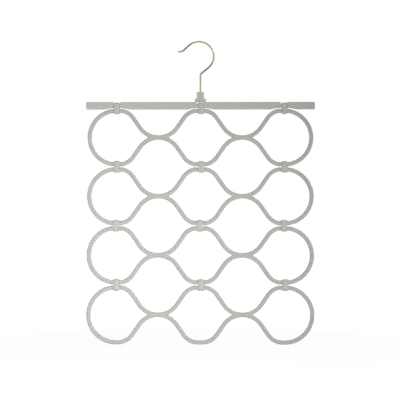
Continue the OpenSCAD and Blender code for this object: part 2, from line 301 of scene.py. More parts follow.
def run_tree(drawing, tree, name, values, flat_axis=None):
    """Runs a tree on a drawing. Faces that look straight along the flat axis are shaded flat."""
    modifier = drawing.modifiers.new(tree.name, "NODES")
    modifier.node_group = tree
    keys = {s.name: s.identifier for s in tree.interface.items_tree if s.in_out == "INPUT"}
    for label, value in values.items():
        modifier[keys[label]] = value
    depsgraph = bpy.context.evaluated_depsgraph_get()
    mesh = bpy.data.meshes.new_from_object(drawing.evaluated_get(depsgraph))
    mesh.shade_smooth()
    mesh.set_sharp_from_angle(angle=sharp_angle)
    if flat_axis is not None:
        smooth = [abs(face.normal[flat_axis]) <= level_limit for face in mesh.polygons]
        mesh.polygons.foreach_set("use_smooth", smooth)
    bpy.data.objects.remove(drawing)
    piece = bpy.data.objects.new(name, mesh)
    bpy.context.scene.collection.objects.link(piece)
    return piece


def place_piece(piece, body, nodes):
    """Hands the piece to its body and hides the plain solids that it stands for."""
    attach(piece, body)
    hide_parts(*nodes)
    triangles = sum(len(face.vertices) - 2 for face in piece.data.polygons)
    print(piece.name, "rides on", body, "and has", triangles, "triangles")


print("edges sharper than", round(math.degrees(sharp_angle)), "degrees stay crisp")

# %% [markdown]
# The plastic is polypropylene, moulded in a satin mould: pale warm grey, with no gloss of its
# own. Melt that cools as it flows leaves very faint clouds a few centimetres wide, the mould's
# blasted surface leaves a fine grain, and hands polish the rounded edges a little. The edges
# are known here because the slab tree stored a value on them.

# %% Moulded plastic
cloud_size = mm(25)
patch_size = mm(9)
grain_size = mm(0.35)
grain_depth = mm(0.002)


def moulded_plastic(name, colour, cloud_colour, edge_colour):
    material = bpy.data.materials.new(name)
    material.use_nodes = True
    tree = material.node_tree
    shader = tree.nodes["Principled BSDF"]
    place = add(tree, "ShaderNodeTexCoord").outputs["Object"]
    rub = add(tree, "ShaderNodeAttribute", attribute_name="rub").outputs["Fac"]

    # Flow clouds
    clouds = add(tree, "ShaderNodeTexNoise", {
        "Vector": place, "Scale": 1 / cloud_size, "Detail": 3.0}).outputs["Fac"]
    tone = add(tree, "ShaderNodeMix", {
        0: clouds, 6: linear(colour), 7: linear(cloud_colour)}, data_type="RGBA").outputs[2]

    # Rubbed edges, in patches
    patches = add(tree, "ShaderNodeTexNoise", {
        "Vector": place, "Scale": 1 / patch_size, "Detail": 4.0})
    worn = add(tree, "ShaderNodeMath", {
        0: rub, 1: patches.outputs["Fac"]}, operation="MULTIPLY", use_clamp=True).outputs[0]
    painted = add(tree, "ShaderNodeMix", {
        0: worn, 6: tone, 7: linear(edge_colour)}, data_type="RGBA").outputs[2]
    tree.links.new(painted, shader.inputs["Base Color"])

    # Satin mould surface: matter in the hollows of the grain, glossier where it is rubbed
    grain = add(tree, "ShaderNodeTexNoise", {
        "Vector": place, "Scale": 1 / grain_size, "Detail": 2.0}).outputs["Fac"]
    satin = add(tree, "ShaderNodeMapRange", {
        "Value": grain, "From Min": 0.3, "From Max": 0.7, "To Min": 0.42, "To Max": 0.52})
    gloss = add(tree, "ShaderNodeMath", {
        0: worn, 1: -0.12, 2: satin.outputs[0]}, operation="MULTIPLY_ADD")
    tree.links.new(gloss.outputs[0], shader.inputs["Roughness"])
    bump = add(tree, "ShaderNodeBump", {"Height": grain, "Distance": grain_depth, "Strength": 0.25})
    tree.links.new(bump.outputs[0], shader.inputs["Normal"])
    shader.inputs["IOR"].default_value = 1.49
    return material


# One plastic in two shades: the rows' copy is painted darker than the bar's and the clips'. This is
# painted shade and painted light that make up for how the lamps fall on each part.
bar_plastic_painted_light = moulded_plastic("Satin polypropylene, top bar", "#c0beb9", "#bcbab5", "#c3c1bc")
row_plastic_painted_shade = moulded_plastic("Satin polypropylene, rows", "#b8b8b2", "#b5b4af", "#bbbbb5")
clip_plastic = moulded_plastic("Satin polypropylene, clips", "#c0bfb9", "#bcbbb5", "#c3c2bc")
print("plastics:", bar_plastic_painted_light.name, "|", row_plastic_painted_shade.name, "|", clip_plastic.name)

# %% [markdown]
# Everything on this hanger comes in threes, so one small tree sets any shape down at the three
# rings: the journals, the spaces cut for them, and the clips. Each can slide a little sideways.

# %% Node tree for three in a row
three, given = new_tree("Three in a row", {
    "Pitch": ring_pitch, "Height": 0.0, "Slides": (0.0, 0.0, 0.0)})
first = add(three, "ShaderNodeMath", {0: given["Pitch"], 1: -1.0}, operation="MULTIPLY").outputs[0]
start = add(three, "ShaderNodeCombineXYZ", {"X": first, "Z": given["Height"]}).outputs[0]
step = add(three, "ShaderNodeCombineXYZ", {"X": given["Pitch"]}).outputs[0]
points = add(three, "GeometryNodeMeshLine", {
    "Count": 3, "Start Location": start, "Offset": step}).outputs[0]
slides = add(three, "ShaderNodeSeparateXYZ", {0: given["Slides"]})
index = add(three, "GeometryNodeInputIndex").outputs[0]
chosen = add(three, "GeometryNodeIndexSwitch", {"Index": index}, data_type="FLOAT")
chosen.index_switch_items.new()
for number in range(3):
    three.links.new(slides.outputs[number], chosen.inputs[number + 1])
slide = add(three, "ShaderNodeCombineXYZ", {"X": chosen.outputs[0]}).outputs[0]
settled = add(three, "GeometryNodeSetPosition", {0: points, "Offset": slide}).outputs[0]
copies = add(three, "GeometryNodeInstanceOnPoints", {
    "Points": settled, "Instance": given["Geometry"]}).outputs[0]
real = add(three, "GeometryNodeRealizeInstances", {0: copies}).outputs[0]
finish = add(three, "GeometryNodeSetMaterial", {0: real, "Material": given["Material"]})
add(three, "NodeGroupOutput", {0: finish.outputs[0]})
print("the tree for three has", len(three.nodes), "nodes")

# %% [markdown]
# A row is one moulding: a thick bar that runs as two mirrored waves, joined at the waists, with
# a half circle at each end. Seen from the front it is a slab with three holes, so the outline is
# the outer edge and the three holes. Every bend is a corner of two straight lines, rounded.

# %% The outline of a row
half_t = bar_t / 2
outer_r = ring_r + half_t
inner_r = ring_r - half_t
waist_z = waist_rise + waist_r
half_pitch = ring_pitch / 2
crotch_reach = waist_r + half_t + crotch_r
crotch_x = math.sqrt(crotch_reach ** 2 - waist_z ** 2)
touch_x = half_pitch - crotch_x * (1 - crotch_r / crotch_reach)
touch_z = waist_z * crotch_r / crotch_reach
touch_slope = math.asin(crotch_x / crotch_reach)
snug = 0.999  # where two bends meet, a hair of straight line is left between them
tip_snug = 0.97  # and a little more at the tips of a hole


def mirrored(upper):
    """A whole outline, anticlockwise, from its upper side drawn from left to right."""
    return moved(upper, y_way=-1) + upper[::-1]


def outer_edge():
    """The upper side from left to right, then turned over for the lower side."""
    crest_x = crest_half + (crest_r + half_t) * math.tan(flank / 2)
    crest = crest_r + half_t
    dip = waist_z - (waist_r - half_t) / math.cos(flank)
    upper = [corner(-ring_pitch - outer_r, outer_r, outer_r * snug)]
    upper += [corner(-ring_pitch + crest_x, outer_r, crest, flank)]
    for waist_x in (-half_pitch, half_pitch):
        upper += [corner(waist_x, dip, waist_r - half_t, 2 * flank)]
        if waist_x < 0:
            upper += [corner(x, outer_r, crest, flank) for x in (-crest_x, crest_x)]
    upper += [corner(ring_pitch - crest_x, outer_r, crest, flank)]
    upper += [corner(ring_pitch + outer_r, outer_r, outer_r * snug)]
    return mirrored(upper)


def hole(ring, round_left, round_right):
    """The hole of one ring, clockwise. A round side is an end of the row, the other a waist."""
    crest = crest_r - half_t
    crest_x = crest_half + crest * math.tan(flank / 2)
    middle = (flank + touch_slope) / 2
    bend = waist_r + half_t
    bend_reach = bend / math.cos((flank - touch_slope) / 2)
    bend_x = half_pitch - bend_reach * math.sin(middle)
    bend_z = waist_z - bend_reach * math.cos(middle)
    tip_x = touch_x + touch_z / math.tan(touch_slope)

    def half_side(way, rounded):
        """From the crest to the level of the row's middle, on one side of the ring."""
        if rounded:
            return [corner(ring + way * inner_r, inner_r, inner_r * snug)]
        return [corner(ring + way * crest_x, inner_r, crest, flank),
                corner(ring + way * bend_x, bend_z, bend, flank - touch_slope)]

    tip = {side: [] if rounded else [corner(ring + side * tip_x, 0, crotch_r * tip_snug, math.pi)]
           for side, rounded in ((-1, round_left), (1, round_right))}
    above = half_side(-1, round_left)[::-1] + half_side(1, round_right)
    return above + tip[1] + moved(above[::-1], y_way=-1) + tip[-1]


row_loops = [outer_edge(), hole(-ring_pitch, True, False), hole(0, False, False),
             hole(ring_pitch, False, True)]
print("a row's outline has", sum(len(loop) for loop in row_loops), "corners")

# %% [markdown]
# The row's tree makes the slab, stands it upright, cuts the six spaces at the crests and fills
# them with the straight round journals that the clips turn on. The lowest row carries no clips
# below, so its lower crests stay plain.

# %% Node tree for a row of rings
rod_sides = 48
rings, given = new_tree("Row of rings", {
    "Height": 0.0, "Thickness": bar_depth, "Edge radius": row_edge, "Crest height": ring_r,
    "Journal height": journal_gap / 2, "Journal radius": journal_r, "Journal length": 2 * journal_half,
    "Sink": mm(1), "Journals below": True})
flat = add(rings, "GeometryNodeGroup", node_tree=slab)
for label in ("Geometry", "Thickness", "Edge radius", "Material"):
    rings.links.new(given[label], flat.inputs[label])
upright = add(rings, "GeometryNodeTransform", {
    0: flat.outputs[0], "Rotation": (math.pi / 2, 0, 0)}).outputs[0]
depth = add(rings, "ShaderNodeMath", {0: given["Thickness"], 1: 2.0}, operation="MULTIPLY").outputs[0]
space = add(rings, "ShaderNodeCombineXYZ", {
    "X": given["Journal length"], "Y": depth, "Z": depth}).outputs[0]
block = add(rings, "GeometryNodeMeshCube", {"Size": space}).outputs[0]
rod_length = add(rings, "ShaderNodeMath", {
    0: given["Sink"], 1: 2.0, 2: given["Journal length"]}, operation="MULTIPLY_ADD").outputs[0]
rod = add(rings, "GeometryNodeMeshCylinder", {
    "Vertices": rod_sides, "Radius": given["Journal radius"], "Depth": rod_length}).outputs[0]
lying = add(rings, "GeometryNodeTransform", {0: rod, "Rotation": (0, math.pi / 2, 0)}).outputs[0]
cut = add(rings, "GeometryNodeMeshBoolean", {
    "Mesh 1": upright}, operation="DIFFERENCE", solver="MANIFOLD")
fill = add(rings, "GeometryNodeMeshBoolean", {
    "Mesh 2": cut.outputs[0]}, operation="UNION", solver="MANIFOLD")
for shape, level, target in ((block, "Crest height", cut), (lying, "Journal height", fill)):
    for sign in (-1.0, 1.0):
        high = add(rings, "ShaderNodeMath", {0: given[level], 1: sign}, operation="MULTIPLY").outputs[0]
        trio = add(rings, "GeometryNodeGroup", node_tree=three)
        for label, socket in (("Geometry", shape), ("Height", high), ("Material", given["Material"])):
            rings.links.new(socket, trio.inputs[label])
        wanted = True if sign > 0 else given["Journals below"]
        kept = add(rings, "GeometryNodeSwitch", {
            "Switch": wanted, "True": trio.outputs[0]}, input_type="GEOMETRY")
        rings.links.new(kept.outputs[0], target.inputs["Mesh 2"])
raised = add(rings, "ShaderNodeCombineXYZ", {"Z": given["Height"]}).outputs[0]
hung = add(rings, "GeometryNodeTransform", {0: fill.outputs[0], "Translation": raised}).outputs[0]
finish = add(rings, "GeometryNodeSetMaterial", {0: hung, "Material": given["Material"]})
add(rings, "NodeGroupOutput", {0: finish.outputs[0]})
print("the tree of a row has", len(rings.nodes), "nodes")

# %% [markdown]
# One outline and one tree make all four rows. Each run gets its own height, and each result
# becomes a piece of its own, because every row folds by itself.

# %% The four rows
for number, height in enumerate(row_z, 1):
    row = run_tree(draw("row outline", row_loops), rings, f"rings_row_{number}", {
        "Height": height, "Journals below": number < len(row_z), "Material": row_plastic_painted_shade}, flat_axis=1)
    place_piece(row, f"row_{number}", [f"row_{number}"])

# %% [markdown]
# A clip is a short block with two eyes, and each eye is open at the back, so that it can be
# pressed on to a journal. Seen from the side it is an outline with two C-shaped bays, so here
# the drawing's X is the clip's depth, and the slab is turned to face sideways.

# %% The outline of a clip
clip_half_d = mm(4.7)
clip_end = link_drop / 2 + mm(4.9)
eye_r = journal_r + mm(0.05)
slot_half = mm(2.5)
lip_corner = mm(0.3)
eye_share = 0.2
eye_facets = 40
end_facets = 25


def clip_edge():
    """The upper half from the slot of its eye round to the front, and its mirror image below."""
    eye_z = link_drop / 2
    gap_angle = math.asin(slot_half / eye_r)
    end_centre = clip_end - clip_half_d
    lip_angle = math.asin((eye_z + slot_half - end_centre) / clip_half_d)
    lip_x = clip_half_d * math.cos(lip_angle)
    mouth_x = eye_r * math.cos(gap_angle)
    upper = [corner(clip_half_d, eye_z - slot_half, lip_corner, edge=eye_share),
             corner(mouth_x, eye_z - slot_half, edge=eye_share)]
    round_eye = arc((0, eye_z), eye_r, -gap_angle, gap_angle - 2 * math.pi, eye_facets, eye_share)
    upper += round_eye[1:-1]
    upper += [corner(mouth_x, eye_z + slot_half, edge=eye_share),
              corner(lip_x, eye_z + slot_half, edge=eye_share)]
    end = arc((0, end_centre), clip_half_d, lip_angle, math.pi, end_facets)[1:]
    upper += [dict(c, edge=min(1.0, eye_share * (i + 1))) for i, c in enumerate(end)]
    return upper + moved(upper[::-1], y_way=-1)


print("a clip's outline has", len(clip_edge()), "corners")

# %% [markdown]
# The clips' tree stacks the trees that are there already: the slab gives the block, a turn
# brings the drawing's depth axis to face the back, and the tree for three sets it at the rings.

# %% Node tree for three clips
clip_width = mm(9.2)
clip_edge_r = mm(1.5)
clips, given = new_tree("Three clips", {
    "Height": 0.0, "Width": clip_width, "Edge radius": clip_edge_r, "Pitch": ring_pitch,
    "Slides": (0.0, 0.0, 0.0)})
block = add(clips, "GeometryNodeGroup", {
    "Geometry": given["Geometry"], "Thickness": given["Width"],
    "Edge radius": given["Edge radius"], "Material": given["Material"]}, node_tree=slab)
turned = add(clips, "GeometryNodeTransform", {
    0: block.outputs[0], "Rotation": (math.pi / 2, 0, math.pi / 2)}).outputs[0]
trio = add(clips, "GeometryNodeGroup", {
    "Geometry": turned, "Pitch": given["Pitch"], "Height": given["Height"],
    "Slides": given["Slides"], "Material": given["Material"]}, node_tree=three)
add(clips, "NodeGroupOutput", {0: trio.outputs[0]})
print("the tree of the clips has", len(clips.nodes), "nodes")

# %% [markdown]
# Above each row hangs a tier of three clips. On a real hanger each clip has slid a little along
# its journal, so the four tiers are alike except for these slides, in millimetres from left
# to right.

# %% The four tiers of clips
slides = [(-0.3, 1, 0.9), (0.5, 1.4, 0.6), (-0.7, -0.5, -0.8), (0.5, 1.3, 1)]
for number, height in enumerate(clip_z, 1):
    tier = run_tree(draw("clip outline", [clip_edge()]), clips, f"clips_tier_{number}", {
        "Height": height, "Slides": [mm(s) for s in slides[number - 1]],
        "Material": clip_plastic}, flat_axis=0)
    place_piece(tier, f"links_{number}", [
        f"clip_{number}_{side}" for side in ("left", "centre", "right")])

# %% [markdown]
# The top bar is a straight strip, cut by a notch at each ring where a clip turns on a journal,
# and hollowed by a shallow arch round each notch. A thicker saddle bridges the middle notch and
# carries the boss in which the hook turns. Strip and saddle are two slabs of different depth.

# %% The outlines of the top bar
bar_half = mm(182.5)
bar_high = mm(5.6)
bar_low = mm(-6)
bar_edge = mm(1.5)
bar_corner = mm(1.7)
notch_half = mm(5.7)
arch_half = mm(21)
arch_crown = mm(-3.2)
arch_rise = arch_crown - bar_low
arch_r = (arch_half ** 2 + arch_rise ** 2) / (2 * arch_rise)
arch_facets = 16
notch_share = 0.25
notch_fade = mm(0.6)


def arch_side(ring, way):
    """The arch from its foot to the notch, on one side of a ring."""
    foot = math.asin(arch_half / arch_r)
    brink = math.asin(notch_half / arch_r)
    line = arc((0, arch_crown - arch_r), arch_r, math.pi / 2 - foot, math.pi / 2 - brink,
               arch_facets)
    side = moved(line, x_way=way, shift=ring)
    return side[:-1] + [dict(side[-1], edge=notch_share)]


def notch_top(ring, way):
    """The upper corner beside a notch, and the point where the edge has its full rounding."""
    near = ring + way * notch_half
    return [corner(near, bar_high, edge=notch_share), corner(near + way * notch_fade, bar_high)]


def strip(left, right):
    """A stretch of the bar between two rings, or between a ring and an end of the bar."""
    if left is None:
        lower = [corner(-bar_half, bar_low, bar_corner)]
        upper = [corner(-bar_half, bar_high, bar_corner)]
    else:
        lower = arch_side(left, 1)[::-1]
        upper = notch_top(left, 1)[::-1]
    if right is None:
        end = [corner(bar_half, z, bar_corner) for z in (bar_low, bar_high)]
        return lower + end + upper
    return lower + arch_side(right, -1) + notch_top(right, -1) + upper


bar_loops = [strip(a, b) for a, b in zip([None] + ring_x, ring_x + [None])]

boss_edge = mm(0.8)
boss_corner = mm(1)
boss_half, boss_top = mm(5.85), mm(21.3)
saddle_half, saddle_top, saddle_low = mm(8.85), mm(10.6), mm(3.8)
saddle_bend = mm(0.6)
window_top, window_corner, window_share = mm(6.4), mm(0.4), 0.3
right_side = [corner(notch_half, window_top, window_corner, edge=window_share),
              corner(notch_half, saddle_low, window_corner, edge=window_share),
              corner(saddle_half, saddle_low, boss_corner),
              corner(saddle_half, saddle_top, boss_corner),
              corner(boss_half, saddle_top, saddle_bend),
              corner(boss_half, boss_top, boss_corner)]
boss_loop = right_side + moved(right_side[::-1], x_way=-1)
print("the bar is drawn as", len(bar_loops), "strips, with arches of radius", round(arch_r, 4), "m")

# %% [markdown]
# The bar's tree joins the strips and the boss, drills them for the wire and puts a journal into
# each notch. The boss comes in as a second drawing, because its depth differs. Two bores meet
# inside it: a narrow one for the shank from the top, and a wider pocket for the rivet below.

# %% Node tree for the top bar
boss_bead = mm(0.05)
bore_over = 1.2  # the drill for the shank runs past the top of the boss
beam, given = new_tree("Top bar", {
    "Boss outline": None, "Height": 0.0, "Bar depth": mm(7.2), "Bar edge": bar_edge,
    "Boss depth": mm(9.6), "Boss edge": boss_edge, "Journal radius": journal_r,
    "Journal length": 2 * notch_half + mm(2), "Bore radius": mm(1.72), "Boss top": boss_top,
    "Pocket radius": mm(4), "Pocket top": mm(10.2), "Countersink": mm(0.5)})
strips = add(beam, "GeometryNodeGroup", {
    "Geometry": given["Geometry"], "Thickness": given["Bar depth"],
    "Edge radius": given["Bar edge"], "Material": given["Material"]}, node_tree=slab)
boss_drawing = add(beam, "GeometryNodeObjectInfo", {0: given["Boss outline"]}).outputs["Geometry"]
boss = add(beam, "GeometryNodeGroup", {
    "Geometry": boss_drawing, "Thickness": given["Boss depth"], "Bead height": boss_bead,
    "Edge radius": given["Boss edge"], "Material": given["Material"]}, node_tree=slab)
whole = add(beam, "GeometryNodeMeshBoolean", {
    "Mesh 2": strips.outputs[0]}, operation="UNION", solver="MANIFOLD")
beam.links.new(boss.outputs[0], whole.inputs["Mesh 2"])
upright = add(beam, "GeometryNodeTransform", {
    0: whole.outputs[0], "Rotation": (math.pi / 2, 0, 0)}).outputs[0]

# The round bores for the wire and its riveted end, and a small countersink at the top
bored = add(beam, "GeometryNodeMeshBoolean", {
    "Mesh 1": upright}, operation="DIFFERENCE", solver="MANIFOLD")
for width, top, over in (("Bore radius", "Boss top", bore_over), ("Pocket radius", "Pocket top", 1.0)):
    length = add(beam, "ShaderNodeMath", {0: given[top], 1: over}, operation="MULTIPLY").outputs[0]
    centre = add(beam, "ShaderNodeMath", {0: length, 1: 0.5}, operation="MULTIPLY").outputs[0]
    lift = add(beam, "ShaderNodeCombineXYZ", {"Z": centre}).outputs[0]
    drill = add(beam, "GeometryNodeMeshCylinder", {
        "Vertices": rod_sides, "Radius": given[width], "Depth": length}).outputs[0]
    placed = add(beam, "GeometryNodeTransform", {0: drill, "Translation": lift}).outputs[0]
    beam.links.new(placed, bored.inputs["Mesh 2"])
flared = add(beam, "ShaderNodeMath", {
    0: given["Countersink"], 1: 2.0, 2: given["Bore radius"]}, operation="MULTIPLY_ADD").outputs[0]
deep = add(beam, "ShaderNodeMath", {0: given["Countersink"], 1: 2.0}, operation="MULTIPLY").outputs[0]
base = add(beam, "ShaderNodeMath", {
    0: given["Boss top"], 1: given["Countersink"]}, operation="SUBTRACT").outputs[0]
lift = add(beam, "ShaderNodeCombineXYZ", {"Z": base}).outputs[0]
cone = add(beam, "GeometryNodeMeshCone", {
    "Vertices": rod_sides, "Radius Top": flared, "Radius Bottom": given["Bore radius"], "Depth": deep})
placed = add(beam, "GeometryNodeTransform", {0: cone.outputs[0], "Translation": lift}).outputs[0]
beam.links.new(placed, bored.inputs["Mesh 2"])

# The journals, one in each notch
rod = add(beam, "GeometryNodeMeshCylinder", {
    "Vertices": rod_sides, "Radius": given["Journal radius"], "Depth": given["Journal length"]}).outputs[0]
lying = add(beam, "GeometryNodeTransform", {0: rod, "Rotation": (0, math.pi / 2, 0)}).outputs[0]
trio = add(beam, "GeometryNodeGroup", {
    "Geometry": lying, "Material": given["Material"]}, node_tree=three)
joined = add(beam, "GeometryNodeMeshBoolean", {
    "Mesh 2": bored.outputs[0]}, operation="UNION", solver="MANIFOLD")
beam.links.new(trio.outputs[0], joined.inputs["Mesh 2"])
raised = add(beam, "ShaderNodeCombineXYZ", {"Z": given["Height"]}).outputs[0]
hung = add(beam, "GeometryNodeTransform", {0: joined.outputs[0], "Translation": raised}).outputs[0]
finish = add(beam, "GeometryNodeSetMaterial", {0: hung, "Material": given["Material"]})
add(beam, "NodeGroupOutput", {0: finish.outputs[0]})
print("the tree of the top bar has", len(beam.nodes), "nodes")

# %% [markdown]
# The tree reads the boss drawing through an object input while it runs, so that drawing is
# removed only after the bar has become a plain mesh.

# %% The top bar
boss_outline = draw("boss outline", [boss_loop])
top_bar = run_tree(draw("bar outline", bar_loops), beam, "moulded_top_bar", {
    "Boss outline": boss_outline, "Height": top_z, "Material": bar_plastic_painted_light}, flat_axis=1)
bpy.data.objects.remove(boss_outline)
place_piece(top_bar, "bar", ["top_bar"])

# %% [markdown]
# The hook is one piece of steel wire, plated pale brass. It rises from its riveted end through
# the boss, bends out, goes round in a wide arch over the rail, and ends in a small upturned
# nose. It is drawn as a path with rounded corners, and each point also says how thick the wire
# is there, compared with its full thickness: wider at the rivet, and deburred at the cut tip.

# %% The path of the wire
wire_r = mm(1.65)
hook_r = mm(23.8)
hook_centre = (mm(-2.4), mm(-22.02))
throat_angle = math.radians(50)
nose_angle = math.radians(133)
nose_len, nose_r, nose_turn = mm(10.5), mm(10), math.radians(47)
tip_len, tip_burr = mm(2.2), mm(0.5)
rivet_r, rivet_h, washer_low = mm(2.5), mm(1.4), top_z + mm(9.3)
neck_r = mm(4)


rivet_flat = 0.55  # how wide the rivet's end face is, compared with its full width
rivet_steps, tip_steps = 6, 5


def along(start, heading, distance):
    """The point at a distance from the start, in the direction of a heading."""
    return (start[0] + distance * math.cos(heading), start[1] + distance * math.sin(heading))


def wire_path():
    """Rivet, shank, neck, big bend, nose and tip."""
    path = []
    for step in range(rivet_steps + 1):
        angle = math.pi / 2 * step / rivet_steps
        low = washer_low - rivet_h * math.cos(angle)
        wide = rivet_r * (rivet_flat + (1 - rivet_flat) * math.sin(angle))
        path += [corner(0, low, edge=wide / wire_r)]
    path += [corner(0, washer_low + mm(0.01))]
    throat = along(hook_centre, -throat_angle, hook_r)
    rise = math.pi / 2 - throat_angle
    path += [corner(0, throat[1] - throat[0] * math.tan(rise), neck_r, throat_angle)]
    turns = math.ceil(hook_r * (nose_angle + throat_angle) / facet_length)
    path += arc(hook_centre, hook_r, -throat_angle, nose_angle, turns)
    nose = along(hook_centre, nose_angle, hook_r)
    slope = nose_angle + math.pi / 2
    bend = nose_r * math.tan(nose_turn / 2)
    nose = along(nose, slope, nose_len + bend)
    path += [corner(nose[0], nose[1], nose_r, nose_turn)]
    for step in range(tip_steps + 1):
        angle = math.pi / 2 * step / tip_steps
        ahead = bend + tip_len - tip_burr * (1 - math.sin(angle))
        spot = along(nose, slope - nose_turn, ahead)
        path += [corner(*spot, edge=1 - tip_burr / wire_r * (1 - math.cos(angle)))]
    return path


print("the wire is drawn with", len(wire_path()), "points")

# %% [markdown]
# The wire's tree rounds the path and sweeps a circle along it, thicker or thinner where the
# path says so. It also stores where each point of the skin would be if the wire were straight,
# because the finish has lines that follow the wire round its bends.

# %% Node tree for a bent wire
drawn_r = mm(1.625)  # a hair thinner than the wire's full size
wire_tree, given = new_tree("Bent wire", {"Radius": drawn_r, "Sides": 32})
radius = add(wire_tree, "GeometryNodeInputNamedAttribute", {"Name": "corner_radius"}).outputs[0]
facets = add(wire_tree, "GeometryNodeInputNamedAttribute", {"Name": "corner_facets"}, data_type="INT")
girth = add(wire_tree, "GeometryNodeInputNamedAttribute", {"Name": "corner_edge"}).outputs[0]
path = add(wire_tree, "GeometryNodeMeshToCurve", {0: given["Geometry"]}).outputs[0]
bends = add(wire_tree, "GeometryNodeFilletCurve", {
    "Curve": path, "Radius": radius, "Count": facets.outputs[0]}, mode="POLY").outputs[0]
run = add(wire_tree, "GeometryNodeCaptureAttribute")
run.capture_items.new("FLOAT", "length")
length = add(wire_tree, "GeometryNodeSplineParameter").outputs["Length"]
wire_tree.links.new(bends, run.inputs[0])
wire_tree.links.new(length, run.inputs[1])
circle = add(wire_tree, "GeometryNodeCurvePrimitiveCircle", {
    "Resolution": given["Sides"], "Radius": given["Radius"]}).outputs[0]
section = add(wire_tree, "GeometryNodeCaptureAttribute")
section.capture_items.new("VECTOR", "place")
spot = add(wire_tree, "GeometryNodeInputPosition").outputs[0]
wire_tree.links.new(circle, section.inputs[0])
wire_tree.links.new(spot, section.inputs[1])
skin = add(wire_tree, "GeometryNodeCurveToMesh", {
    "Curve": run.outputs[0], "Profile Curve": section.outputs[0], "Scale": girth,
    "Fill Caps": True}).outputs[0]

# Round the wire by its section, and along it by its length
ahead = add(wire_tree, "ShaderNodeCombineXYZ", {"Z": run.outputs[1]}).outputs[0]
straight = add(wire_tree, "ShaderNodeVectorMath", {0: section.outputs[1], 1: ahead}).outputs[0]
marked = add(wire_tree, "GeometryNodeStoreNamedAttribute", {
    0: skin, "Name": "straight", "Value": straight}, data_type="FLOAT_VECTOR").outputs[0]
upright = add(wire_tree, "GeometryNodeTransform", {0: marked, "Rotation": (math.pi / 2, 0, 0)}).outputs[0]
finish = add(wire_tree, "GeometryNodeSetMaterial", {0: upright, "Material": given["Material"]})
add(wire_tree, "NodeGroupOutput", {0: finish.outputs[0]})
print("the tree of the wire has", len(wire_tree.nodes), "nodes")

# %% [markdown]
# Plated wire mirrors the studio softly. Drawing the wire through a die leaves hair lines along
# it, and the thin brass goes a little brown where fingers and air have been at it.

# %% Metals
blotch_size = mm(7)
hair_width = mm(0.2)
hair_length = mm(12)
hair_depth = mm(0.002)


def plated_metal(name, colour, dull_colour, roughness, lines):
    """Lines is the attribute that runs along the wire, or nothing for a stamped piece."""
    material = bpy.data.materials.new(name)
    material.use_nodes = True
    tree = material.node_tree
    shader = tree.nodes["Principled BSDF"]
    shader.inputs["Metallic"].default_value = 1.0
    place = add(tree, "ShaderNodeTexCoord").outputs["Object"]
    blotches = add(tree, "ShaderNodeTexNoise", {
        "Vector": place, "Scale": 1 / blotch_size, "Detail": 4.0}).outputs["Fac"]
    dulled = add(tree, "ShaderNodeMapRange", {
        "Value": blotches, "From Min": 0.4, "From Max": 0.7}).outputs[0]
    tone = add(tree, "ShaderNodeMix", {
        0: dulled, 6: linear(colour), 7: linear(dull_colour)}, data_type="RGBA").outputs[2]
    tree.links.new(tone, shader.inputs["Base Color"])
    stretch = hair_width
    if lines:
        place = add(tree, "ShaderNodeAttribute", attribute_name=lines).outputs["Vector"]
        stretch = hair_length
    fine = add(tree, "ShaderNodeMapping", {
        0: place, "Scale": (1 / hair_width, 1 / hair_width, 1 / stretch)}).outputs[0]
    hairs = add(tree, "ShaderNodeTexNoise", {
        "Vector": fine, "Scale": 1.0, "Detail": 2.0}).outputs["Fac"]
    gloss = add(tree, "ShaderNodeMapRange", {
        "Value": hairs, "From Min": 0.3, "From Max": 0.7,
        "To Min": roughness * 0.8, "To Max": roughness * 1.3}).outputs[0]
    tree.links.new(gloss, shader.inputs["Roughness"])
    bump = add(tree, "ShaderNodeBump", {"Height": hairs, "Distance": hair_depth, "Strength": 0.3})
    tree.links.new(bump.outputs[0], shader.inputs["Normal"])
    return material


brass_wire = plated_metal("Brass-plated steel wire", "#dcd0b8", "#cfc1a6", 0.24, "straight")
zinc = plated_metal("Zinc-plated steel", "#c4c4c0", "#b0b0aa", 0.3, None)
hook = run_tree(draw("wire path", [wire_path()], closed=False), wire_tree, "bent_wire_hook", {
    "Material": brass_wire})
place_piece(hook, "hook", ["hook_wire"])
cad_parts["hook_washer"].data.materials.clear()
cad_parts["hook_washer"].data.materials.append(zinc)
print("metals:", brass_wire.name, "|", zinc.name)

# %% [markdown]
# The hanger stands in front of a white studio. The floor is white to the camera whatever light
# falls on it, but keeps a little of its lit surface, so that the shadow under the lowest row
# stays. Near the hanger it keeps twice as much, so that there it is a little grey whatever the
# light: painted shade round the hanger's foot, with the real shadow in it. The world is white to
# the camera too. In reflections it has light panels above, below and at the sides of the room in
# front, with dark corners between them, which is what gives the wire its light and dark
# stretches. As light on the object it has no panels, and is about twice as strong from above as
# from below.

# %% Floor and world
def seen_by_eye(tree):
    """1 for rays from the camera, or by way of a mirror or glass, and 0 for scattered light."""
    path = add(tree, "ShaderNodeLightPath").outputs
    seen = add(tree, "ShaderNodeMath", {
        0: path["Is Camera Ray"], 1: path["Is Glossy Ray"]}, operation="MAXIMUM").outputs[0]
    return add(tree, "ShaderNodeMath", {
        0: seen, 1: path["Is Transmission Ray"]}, operation="MAXIMUM").outputs[0]


